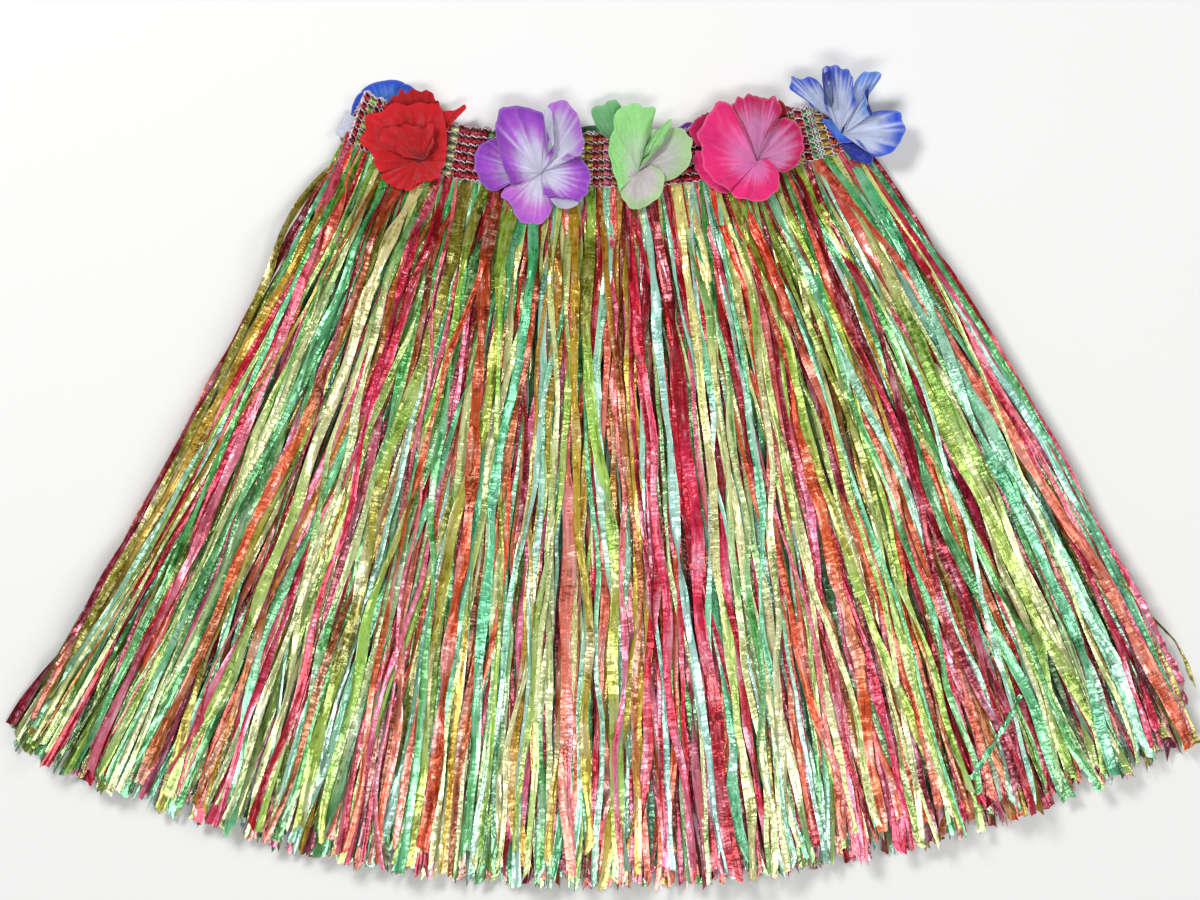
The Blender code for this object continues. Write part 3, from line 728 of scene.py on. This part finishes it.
# dark tint: painted shade in the gaps between the knitted columns
groundTint = np.tile([[0.10, 0.02, 0.02]], (len(groundUv), 1))
bandFilm = makeMesh("band_film", points.reshape(-1, 3), cells, uv.reshape(-1, 2), tint.reshape(-1, 3))
bandGround = makeMesh("band_ground", ground.reshape(-1, 3), groundQuads, groundUv, groundTint)
rowPoints, rowQuads = threadRows(rng, edges)
postPoints, postQuads = threadPosts(rng, edges)
threadQuads = np.concatenate([rowQuads, postQuads + len(rowPoints)])
bandThread = makeMesh("band_thread", np.concatenate([rowPoints, postPoints]), threadQuads)
thread = threadMaterial()
knitted = {**film, "lighten": 0.25, "spark": 0.20, "coat": 0.0, "metallic": 0.10, "specular": 0.15}
knitLook = filmMaterial("knitted_film", knitted)
for piece, look in ((bandFilm, knitLook), (bandGround, knitLook), (bandThread, thread)):
    dress(piece, look, "waistband", "waistband")
print("waistband made")


# closure tab

tab = {  # mm and degrees, then its mesh
    "length": 18.0, "width": 13.0, "thick": 1.1, "x": -130.3, "y": 182.3, "turn": -28.0, "z": 5.45,
    "rows": 40, "columns": 26,
}


def tabPiece():  # a rounded flat tape with its edges turned over
    rows, columns = tab["rows"], tab["columns"]
    a, b = np.meshgrid(np.linspace(-1, 1, rows), np.linspace(-1, 1, columns), indexing="ij")
    x, y = a * tab["length"] / 2, b * tab["width"] / 2
    soft = (1 - np.abs(a) ** 14) * (1 - np.abs(b) ** 14)
    points = []
    for way in (1, -1):
        z = tab["z"] + way * tab["thick"] / 2 * soft
        points.append(np.stack([x, y, z], -1).reshape(-1, 3))
    local = np.concatenate(points)
    c, s = math.cos(math.radians(tab["turn"])), math.sin(math.radians(tab["turn"]))
    x, y = local[:, 0], local[:, 1]
    world = np.stack([tab["x"] + x * c - y * s, tab["y"] + x * s + y * c, local[:, 2]], -1) * mm
    quads = gridFaces(1, rows, columns)
    return makeMesh("closure_tape", world, np.concatenate([quads, quads[:, ::-1] + rows * columns]))


def tapeMaterial():  # a nap of tiny loops
    material, tree, shader = newMaterial("loop_tape", Roughness=0.9, Sheen_Weight=0.5)
    loops = noise(tree, spotOf(tree), 2600.0, 3.0, 0.7)
    colour = blend(tree, ramp(tree, loops, 0.35, 0.65), (0.38, 0.39, 0.50), (0.66, 0.67, 0.80))
    connect(tree, shader, Base_Color=colour, Normal=bumps(tree, loops, 0.8, 0.0003))
    return material


tabObj = tabPiece()
dress(tabObj, tapeMaterial(), "closure_tab", "closure_tab")


# flowers

# a petal's parts in order: foot and rim are in the photo's pixels, x right and y down, with the rim from
# one side of the foot to the other; z holds the heights of foot and rim in mm; looks are its three dyes
petalParts = ("foot", "z", "ruffle", "waves", "looks", "rim")
petalGrid = (20, 37)  # points along a petal and across it
lowest = {"front": 0.0079, "back": 0.0002}  # metres
petalsOfBack = 5
flowers = {
    "flower_red": {"seed": 1, "heartEnd": 0.4, "rimStart": 0.8, "bleed": 0.1, "pale": 0.0, "petals": (
        ((420, 158), (8.2, 12), 1.3, 15, "deepRed deepRed red", (
            (384, 108), (390, 100), (397, 94), (404, 91.5), (411, 90), (419, 91), (427, 90), (434, 96),
            (440, 106), (444, 118))),
        ((430, 146), (8.4, 12), 0.4, 2, "red red brightRed", (
            (433, 116), (443, 111), (455, 110), (464, 104.5), (466.5, 108), (460, 114.5), (450, 122.5),
            (443, 133))),
        ((421, 161), (8.4, 15), 1.9, 27, "deepRed red brightRed", (
            (380, 172), (369, 152), (361.5, 140), (364, 126), (369, 115), (381, 110.5), (390, 105),
            (398, 102.5), (407, 106), (418, 101.5), (428, 105), (438, 102.5), (443, 114), (446, 126),
            (446.5, 138), (447, 150), (444, 161))),
        ((421, 160), (8.6, 11.5), 1.4, 15, "red red brightRed", (
            (378, 157), (379, 166), (382, 176), (385, 182), (394, 187), (400, 189), (407, 190.5),
            (414, 189), (421, 184), (428, 178))),
        ((421, 160), (8.8, 12), 1.3, 11, "red red brightRed", (
            (415, 185), (420, 182), (427, 181), (437, 179), (442, 169), (446, 157), (447, 146))),
        ((421, 162), (9.0, 16.5), 1.3, 13, "deepRed red brightRed", (
            (386, 149), (380, 139), (382, 130), (392, 127), (401, 126), (410, 125), (421, 128),
            (433, 124), (434, 135), (433, 145), (428, 155))),
        ((424, 160), (9.6, 13), 0.9, 6, "deepRed red red", (
            (402, 157), (396, 148), (398, 139), (408, 137), (417, 136), (424, 138), (429, 147))),
    )},
    "flower_purple": {"seed": 2, "heartEnd": 0.54, "rimStart": 0.74, "bleed": 0.19, "petals": (
        ((532, 172), (8.6, 10.5), 0.8, 3, "greyLilac purple deepPurple", (
            (509, 184), (498, 190.5), (490, 190.5), (480.5, 182), (475, 168), (475, 154), (482.5, 143),
            (492, 139), (501, 142), (512, 154))),
        ((541, 173), (9.4, 12.5), 0.9, 5, "lilacWhite pinkPurple purple", (
            (520, 184.5), (511, 185), (503, 190), (501.5, 197), (509, 202), (513, 210), (518, 219.5),
            (526.5, 224.5), (538, 225), (546, 219), (552, 209), (552, 200), (548, 192))),
        ((541, 172), (9.0, 13), 1.0, 4, "lilacWhite purple deepPurple", (
            (570, 155), (580, 158.5), (588, 166.5), (590.5, 177.5), (589, 188), (582, 199.5),
            (574, 205.5), (566, 206), (559, 201), (553, 197), (545, 196))),
        ((542, 172), (9.2, 17), 1.0, 3, "lilacWhite greyLilac purple", (
            (553, 140), (545, 123), (545, 111), (552.5, 102), (563, 100.5), (571.5, 106), (578.5, 117),
            (582, 131), (583.5, 143), (582, 153.5), (577.5, 157), (568, 154))),
        ((541, 173), (9.4, 17.5), 1.1, 5, "lilacWhite purple deepPurple", (
            (511, 185), (508, 176), (502, 165), (499, 150), (495, 130), (496, 121), (499, 112),
            (508, 106), (518, 105), (530, 109), (541.5, 112), (545, 123), (548, 136), (555, 152))),
        ((547, 156), (14.0, 17.8), 0.3, 1, "greyLilac greyLilac lilacWhite", (
            (545, 122), (544, 112), (548, 107), (552, 113), (553, 128), (554, 144))),
        ((556, 198), (12.5, 13.2), 0.3, 1, "greyLilac greyLilac greyLilac", (
            (550, 198), (555, 205), (562, 208.5), (571, 208), (579, 203), (571, 199.5))),
    )},
    "flower_green": {"seed": 3, "heartEnd": 0.5, "rimStart": 0.7, "bleed": 0.16, "petals": (
        ((628, 160), (8.6, 11.5), 0.6, 3, "leafGreen leafGreen leafGreen", (
            (609.5, 140), (600, 131), (595, 124), (591, 112), (595, 107), (604, 104), (609.5, 100.5),
            (615.5, 100), (619.5, 103.5), (621.5, 107), (617, 116), (615, 128))),
        ((640, 171), (9.0, 14), 0.8, 4, "mauveGrey greyGreen oliveGreen", (
            (648, 131), (656, 129.5), (667, 131), (673, 128), (679, 128), (687.5, 132.5), (691.5, 142.5),
            (692, 152), (690, 162.5), (684.5, 171), (677, 177), (669, 180), (664, 181), (660, 172))),
        ((639, 172), (9.4, 17), 0.9, 4, "paleGreen brightGreen brightGreen", (
            (619.5, 190), (615, 177.5), (610.5, 161), (608.5, 147), (611, 135), (614, 128.5),
            (613.5, 118), (619.5, 109.5), (628, 104.5), (638.5, 103), (645.5, 107.5), (656, 107.5),
            (652.5, 118), (648, 129.5), (645.5, 144), (642, 155))),
        ((638.5, 172), (9.6, 16), 0.5, 2, "paleGreen brightGreen brightGreen", (
            (645.5, 148), (654, 135), (667.5, 120.5), (671.5, 119.5), (670, 127), (665.5, 135),
            (661.5, 144), (651, 153), (643, 160))),
        ((638.5, 172), (9.8, 12.5), 0.9, 4, "mauveGrey mauveGrey oliveGreen", (
            (619.5, 169), (621, 181), (618.5, 190), (625, 201.5), (631, 209), (638.5, 209), (646, 206),
            (654, 201.5), (661, 194), (664.5, 181.5), (664, 174), (658.5, 168.5), (651, 165))),
    )},
    "flower_pink": {"seed": 4, "heartEnd": 0.5, "rimStart": 0.66, "bleed": 0.18, "petals": (
        ((740, 150), (8.6, 10.5), 0.6, 3, "deepPink deepPink deepPink", (
            (697, 146), (689, 132), (691.5, 124), (698, 117.5), (707, 113), (716, 112))),
        ((756, 160), (8.6, 9.6), 0.6, 4, "hotPink deepPink hotPink", (
            (696, 150), (693, 158), (694.5, 166), (698, 174), (707.5, 184.5), (720, 193), (730, 193))),
        ((770, 130), (8.6, 10.0), 0.3, 2, "deepRed deepRed deepRed", (
            (779, 99), (784.5, 104), (787, 113), (781, 119), (774, 124))),
        ((757, 161), (9.0, 13), 0.9, 5, "pinkGrey pinkGrey deepPink", (
            (774, 125), (779.5, 119), (788, 118), (796, 122.5), (802, 131.5), (803.5, 143), (802, 156),
            (796, 165.5), (788, 171), (779.5, 172), (771, 164))),
        ((757, 160), (9.2, 17), 1.0, 5, "pinkGrey pinkGrey deepPink", (
            (731.5, 105), (738, 98), (749, 95), (756, 95), (763, 98.5), (773.5, 96.5), (779.5, 103),
            (781.5, 110), (779.5, 116.5), (773.5, 123), (767, 131))),
        ((757, 161), (9.4, 12.5), 1.1, 6, "palePink hotPink hotPink", (
            (725, 188), (733, 195), (743, 199.5), (753, 201), (763, 200.5), (769.5, 198), (778, 188),
            (780, 179), (778, 172), (774, 165), (766, 158))),
        ((757, 162), (9.6, 17), 1.2, 6, "palePink hotPink hotPink", (
            (729, 191), (709, 176), (702.5, 160), (700, 145), (699, 131.5), (705, 118), (712.5, 111),
            (715, 104), (721.5, 101), (727.5, 101.5), (731.5, 106), (738, 116.5), (744, 128),
            (750.5, 142))),
    )},
    "flower_blue": {"seed": 5, "heartEnd": 0.62, "rimStart": 0.7, "bleed": 0.26, "petals": (
        ((840, 145), (8.8, 9.4), 0.4, 2, "deepBlue deepBlue deepBlue", (
            (848, 140), (859, 142), (868, 152.5), (872.5, 156), (873, 162.5), (869, 164.5), (859, 161.5),
            (853, 160.5), (849, 154))),
        ((832, 120), (9.4, 10.4), 0.4, 2, "blue blue midBlue", (
            (814.5, 107.5), (817, 104.5), (823, 104), (828, 111), (836, 119), (844, 130), (851, 137),
            (853, 141), (846, 143), (837, 140), (828, 128.5), (820, 118))),
        ((832, 118), (10.0, 16), 0.9, 4, "blueWhite blueWhite midBlue", (
            (811, 107), (806.5, 100), (799.5, 95), (790, 89.5), (790, 84), (792, 76.5), (796, 77.5),
            (801, 79), (810.5, 77), (815, 78), (820, 84), (823.5, 89.5), (825, 100), (826, 108))),
        ((842, 134), (10.0, 15), 0.8, 6, "blueWhite blueWhite midBlue", (
            (868, 112), (868, 118), (871, 113), (877, 111), (889, 110), (897, 111), (901.5, 116),
            (904.5, 124), (904, 134), (899, 144.5), (892, 152), (881, 156.5), (873, 156), (866.5, 149.5),
            (860, 141))),
        ((843, 134), (10.4, 21), 0.7, 3, "blueWhite blueWhite blue", (
            (852, 97), (854.5, 84), (859, 76), (865, 72), (873, 71), (880, 73.5), (881, 77.5),
            (874.5, 85), (869.5, 88), (866, 93), (867, 104), (872, 114))),
        ((840, 132), (10.6, 22), 0.9, 4, "blueWhite blueWhite midBlue", (
            (826, 110), (824, 100), (823, 84), (822, 73), (824, 67), (836, 65.5), (844, 69), (849, 70.5),
            (853, 78), (853.5, 84), (854, 94), (857, 104))),
        ((832, 108), (16.0, 22.4), 0.3, 1, "greyBlue deepBlue deepBlue", (
            (824.5, 104), (823.5, 90), (822, 76), (824, 67.5), (828, 66), (832, 72), (833, 88),
            (834, 102))),
        ((868, 104), (19.0, 21.0), 0.2, 1, "deepBlue deepBlue deepBlue", (
            (864.5, 92), (867, 88), (869, 89.5), (867.5, 96), (869, 105), (872.5, 113), (870, 115.5),
            (866.5, 108))),
    )},
}
backFlowers = {  # pressed flat under the band, the same five colours in turn
    "back_flower_blue": {"x": -112.5, "y": 189.0, "length": 20.5, "turn": 101,
        "looks": "blue blue midBlue"},
    "back_flower_pink": {"x": -58.0, "y": 158.0, "length": 21.0, "turn": 76,
        "looks": "hotPink hotPink deepPink"},
    "back_flower_green": {"x": -2.0, "y": 165.0, "length": 20.5, "turn": 93,
        "looks": "leafGreen leafGreen darkGreen"},
    "back_flower_purple": {"x": 56.0, "y": 167.0, "length": 22.0, "turn": 72,
        "looks": "purple deepPurple deepPurple"},
    "back_flower_red": {"x": 98.0, "y": 174.5, "length": 21.0, "turn": 115,
        "looks": "deepRed deepRed deepRed"},
}
dyes = {
    "deepRed": (142, 8, 14), "red": (182, 12, 20), "brightRed": (206, 26, 36),
    "lilacWhite": (206, 204, 228), "greyLilac": (184, 182, 204), "purple": (166, 84, 198),
    "deepPurple": (128, 56, 172), "pinkPurple": (194, 110, 200), "brightGreen": (150, 218, 132),
    "paleGreen": (186, 212, 178), "leafGreen": (104, 166, 110), "darkGreen": (46, 112, 70),
    "greyGreen": (176, 184, 172), "mauveGrey": (192, 184, 184), "oliveGreen": (160, 196, 136),
    "hotPink": (222, 36, 112), "palePink": (224, 110, 176), "deepPink": (186, 16, 84),
    "pinkGrey": (200, 120, 170), "blueWhite": (188, 198, 226), "greyBlue": (120, 136, 176),
    "midBlue": (36, 76, 196), "blue": (76, 124, 212), "deepBlue": (32, 48, 146),
}


def throughPoints(points, count):  # a smooth line through points, evenly spaced: a Catmull-Rom curve
    p = np.array(points, float)
    p = np.concatenate([[2 * p[0] - p[1]], p, [2 * p[-1] - p[-2]]])
    s = np.linspace(0, len(points) - 1 - 1e-9, 8 * count)
    i, f = s.astype(int), (s % 1)[:, None]
    a, b, c, d = p[i], p[i + 1], p[i + 2], p[i + 3]
    line = 0.5 * (2 * b + (c - a) * f + (2 * a - 5 * b + 4 * c - d) * f**2 + (3 * b - a - 3 * c + d) * f**3)
    run = np.concatenate([[0], np.cumsum(np.linalg.norm(np.diff(line, axis=0), axis=1))])
    at = np.linspace(0, run[-1], count)
    return np.stack([np.interp(at, run, line[:, k]) for k in (0, 1)], -1), run[-1]


def fromPhoto(x, y):  # a pixel of the photo as x and y in mm
    return (x - photo["midX"]) * photo["pixel"], photo["bandY"] + (photo["midY"] - y) * photo["pixel"]


def toPhoto(x, y):
    return x / photo["pixel"] + photo["midX"], photo["midY"] - (y - photo["bandY"]) / photo["pixel"]


def fan(rng, petal, f, layer):  # a petal as rays from its foot to its rim, lifted, creased and ruffled
    rows, columns = petalGrid
    rim, around = throughPoints(petal["rim"], columns)
    v, u = np.linspace(0, 1, rows)[:, None], np.linspace(0, 1, columns)[None]
    jag = 1 + 0.020 * petal["ruffle"] * waves(rng, (), u[0], 4, 11, 5)[None] * v**3
    foot = np.array(petal["foot"], float)
    flat = foot + (rim[None] - foot) * (v * jag)[..., None]
    low, high = petal["z"]
    start = rng.uniform(0, 2 * np.pi)
    frill = np.sin(np.pi * petal["waves"] * u + start + 0.8 * waves(rng, (), u[0], 0.5, 2)[None])
    rays = waves(rng, (), u[0], 1.0, 5.0)[None] * 0.5 + waves(rng, (), u[0], 6.0, 16.0)[None] * 0.16
    bowl = np.sin(np.pi * u) * v * (1 - 0.55 * v)
    z = low + (high - low) * v**1.25 * (0.55 + 0.45 * np.sin(np.pi * u)) + petal["ruffle"] * frill * v**1.8
    crumple = waves(rng, (rows,), u[0], 1.0, 6.0) * 0.22 * smooth(0.1, 0.5, v)
    z = z + rays * np.sin(np.pi * v**0.8) * 1.1 - bowl * 1.0 + crumple + 0.30 * layer
    points = np.stack([*fromPhoto(flat[..., 0], flat[..., 1]), z], -1)
    eye = [0, photo["eyeY"]]  # higher points look further out from it
    shrink = 1 - (points[..., 2:] - photo["level"]) / photo["eyeHeight"]
    points[..., :2] = eye + (points[..., :2] - eye) * shrink
    edge = waves(rng, (), u[0], 6, 22, 6)[None] * 0.5 + waves(rng, (rows,), u[0], 1, 4) * 0.12
    place = v + f["bleed"] * edge
    heart, middle, edge = (linear(dyes[name]) for name in petal["looks"].split())
    one = smooth(f["heartEnd"] - 0.22, f["heartEnd"] + 0.22, place)[..., None]
    two = smooth(f["rimStart"] - 0.12, f["rimStart"] + 0.30, place)[..., None]
    colour = (heart * (1 - one) + middle * one) * (1 - two) + edge * two
    shade = 1 + 0.12 * rays * np.sin(np.pi * v) + 0.10 * frill * v**2
    pale = (smooth(0.965, 1.0, v) * f.get("pale", 0.12))[..., None] + 0 * colour
    colour = colour * shade[..., None] * (1 - pale) + 0.75 * pale
    size = around * photo["pixel"]
    uv = np.stack([u * size + 0 * v + apart["petal"] * layer, v * 22 + 0 * u], -1)
    return points * mm, uv, np.clip(colour, 0, 1)


def petalMaterial():  # thin dyed cloth: fine rays of dye, soft patches of painted light, a weave and soft creases
    material, tree, shader = newMaterial(
        "petal_cloth", Roughness=0.85, Sheen_Weight=0.25, Specular_IOR_Level=0.25)
    across, along = filmParts(tree)
    tint = node(tree, "ShaderNodeAttribute", {"attribute_name": "tint"})
    vein = noise(tree, pattern(tree, across, along, (0.75, 0.09)), 1.0, 4.0, 0.7)
    blot = noise(tree, pattern(tree, across, along, (0.10, 0.10)), 1.0, 3.0, 0.6)
    dark = blend(tree, ramp(tree, vein, 0.50, 0.32) * 0.45, tint, (0.68, 0.66, 0.70), "MULTIPLY")
    # painted light: soft lighter patches over the crumpled cloth
    light = blend(tree, ramp(tree, blot, 0.50, 0.72) * 0.30, dark, paler(tree, tint))
    weave = noise(tree, spotOf(tree), 2200.0, 2.0, 0.6)
    crinkle = noise(tree, pattern(tree, across, along, (0.26, 0.26)), 1.0, 4.0, 0.65, 0.7)
    height = vein * 0.45 + weave * 0.14 + crinkle * 1.1
    connect(tree, shader, Base_Color=light, Normal=bumps(tree, height, 0.9, 0.001))
    return material


def addFlower(name, f, material, lowest):  # a flower's petals as one piece, none lower than it may lie
    rng = np.random.default_rng(f["seed"])
    made = [fan(rng, dict(zip(petalParts, row)), f, layer) for layer, row in enumerate(f["petals"])]
    points = np.concatenate([p.reshape(-1, 3) for p, _, _ in made])
    points[:, 2] = np.maximum(points[:, 2], lowest)
    uv, tint = (np.concatenate([row[k].reshape(-1, row[k].shape[-1]) for row in made]) for k in (1, 2))
    quads = gridFaces(len(made), *petalGrid)
    obj = makeMesh(name + "_petals", points, quads, uv, tint)
    dress(obj, material, name, name)


def pressedPetal(b, i):  # an egg-shaped petal of a back flower, as a row of petalParts
    turn = math.radians(b["turn"] + 360 / petalsOfBack * i)
    along = np.array([0.35, 0.62, 0.86, 0.98, 1.0, 0.98, 0.86, 0.62, 0.35]) * b["length"]
    across = np.array([-0.62, -1.0, -0.90, -0.45, 0, 0.45, 0.90, 1.0, 0.62]) * 12.5
    x = b["x"] + along * math.cos(turn) - across * math.sin(turn)
    y = b["y"] + along * math.sin(turn) + across * math.cos(turn)
    return toPhoto(b["x"], b["y"]), (0.3, 0.5), 0.12, 3, b["looks"], tuple(zip(*toPhoto(x, y)))


petalLook = petalMaterial()
for name, f in flowers.items():
    addFlower(name, f, petalLook, lowest["front"])
for name, b in backFlowers.items():
    petals = [pressedPetal(b, i) for i in range(petalsOfBack)]
    f = {"seed": len(name), "heartEnd": 0.4, "rimStart": 0.7, "bleed": 0.15, "petals": petals}
    addFlower(name, f, petalLook, lowest["back"])
print("flowers made")


# floor, light and camera


def addFloor():
    mesh = bpy.data.meshes.new("floor")
    mesh.from_pydata([(-3, -3, 0), (3, -3, 0), (3, 3, 0), (-3, 3, 0)], [], [(0, 1, 2, 3)])
    floor = bpy.data.objects.new("floor", mesh)
    bpy.context.scene.collection.objects.link(floor)
    material, _, _ = newMaterial("pale_floor", Roughness=0.9, Base_Color=(0.80, 0.80, 0.79))
    mesh.materials.append(material)


def addLight(name, place, target, size, power):  # a soft rectangle of light, turned to its target
    data = bpy.data.lights.new(name, "AREA")
    data.shape, data.energy = "RECTANGLE", power
    data.size, data.size_y = size
    obj = bpy.data.objects.new(name, data)
    obj.location = place
    obj.rotation_euler = Vector(np.subtract(target, place)).to_track_quat("-Z", "Y").to_euler()
    bpy.context.scene.collection.objects.link(obj)


addFloor()
addLight("key", (-0.9, 1.0, 1.5), (0, 0, 0), (0.6, 0.45), 25)
addLight("wash", (0.1, -0.75, 2.1), (0, -0.1, 0), (1.3, 0.4), 21)
addLight("fill", (1.3, 0.3, 1.4), (0, 0, 0), (0.8, 0.8), 10)
world = bpy.data.worlds.new("studio")
bpy.context.scene.world = world
world.use_nodes = True
world.node_tree.nodes["Background"].inputs[0].default_value = (0.97, 0.98, 1.0, 1)
world.node_tree.nodes["Background"].inputs[1].default_value = 0.16
bpy.context.scene.view_settings.view_transform = "Standard"

cameraData = bpy.data.cameras.new("camera")
cameraData.sensor_width = 36
cameraData.lens = cameraData.sensor_width * photo["eyeHeight"] / photo["width"]
camera = bpy.data.objects.new("camera", cameraData)
camera.location = (0, photo["eyeY"] * mm, (photo["eyeHeight"] + photo["level"]) * mm)
bpy.context.scene.collection.objects.link(camera)
bpy.context.scene.camera = camera
